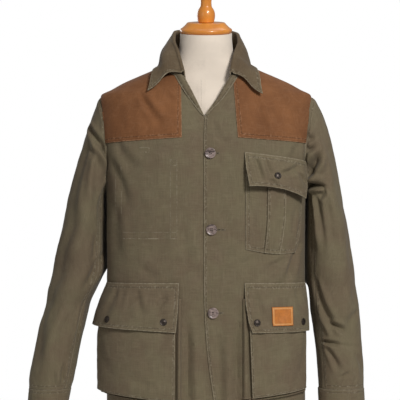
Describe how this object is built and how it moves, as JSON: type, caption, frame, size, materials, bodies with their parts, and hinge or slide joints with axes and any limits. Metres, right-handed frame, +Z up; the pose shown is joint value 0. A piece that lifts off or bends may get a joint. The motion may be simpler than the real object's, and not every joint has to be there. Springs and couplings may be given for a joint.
{
  "type": "canvas field jacket on a limbless dress form",
  "caption": "Hip-length canvas field jacket with shoulder patches, flap pockets and a turned-down collar, buttoned on a limbless dress form.",
  "frame": {"origin": "middle of the underside of the dress form's base", "axes": "+Z up, the jacket's front faces -Y, the wearer's left is +X"},
  "size_m": [0.7543, 0.34, 1.0668],
  "materials": {
    "olive_canvas": "washed heavy cotton canvas, olive brown, plain weave",
    "rust_canvas": "rust brown cotton duck",
    "horn": "mottled brown horn, soft shine",
    "dark_bronze": "darkened bronze",
    "tan_leather": "smooth tan leather, left bare",
    "cream_jersey": "cream cotton jersey stretched over a form",
    "beech": "varnished beech, orange brown"
  },
  "bodies": {
    "root": {"front_right": "olive_canvas", "front_left": "olive_canvas", "back": "olive_canvas", "sleeve_upper_right": "olive_canvas", "sleeve_upper_left": "olive_canvas", "sleeve_under_right": "olive_canvas", "sleeve_under_left": "olive_canvas", "cuff_right": "olive_canvas", "cuff_left": "olive_canvas", "collar": "olive_canvas", "facing_right": "olive_canvas", "facing_left": "olive_canvas", "lower_pocket_right": "olive_canvas", "lower_pocket_left": "olive_canvas", "chest_pocket": "olive_canvas", "flap_lower_right": "olive_canvas", "flap_lower_left": "olive_canvas", "flap_chest": "olive_canvas", "shoulder_patch_right": "rust_canvas", "shoulder_patch_left": "rust_canvas", "button_1": "horn", "button_2": "horn", "button_3": "horn", "snap_chest_1": "dark_bronze", "snap_lower_left_1": "dark_bronze", "snap_lower_left_2": "dark_bronze", "snap_lower_right_1": "dark_bronze", "snap_lower_right_2": "dark_bronze", "leather_patch": "tan_leather", "form_body": "cream_jersey", "form_base": "beech", "neck_cap": "beech", "finial": "beech"}
  },
  "joints": []
}
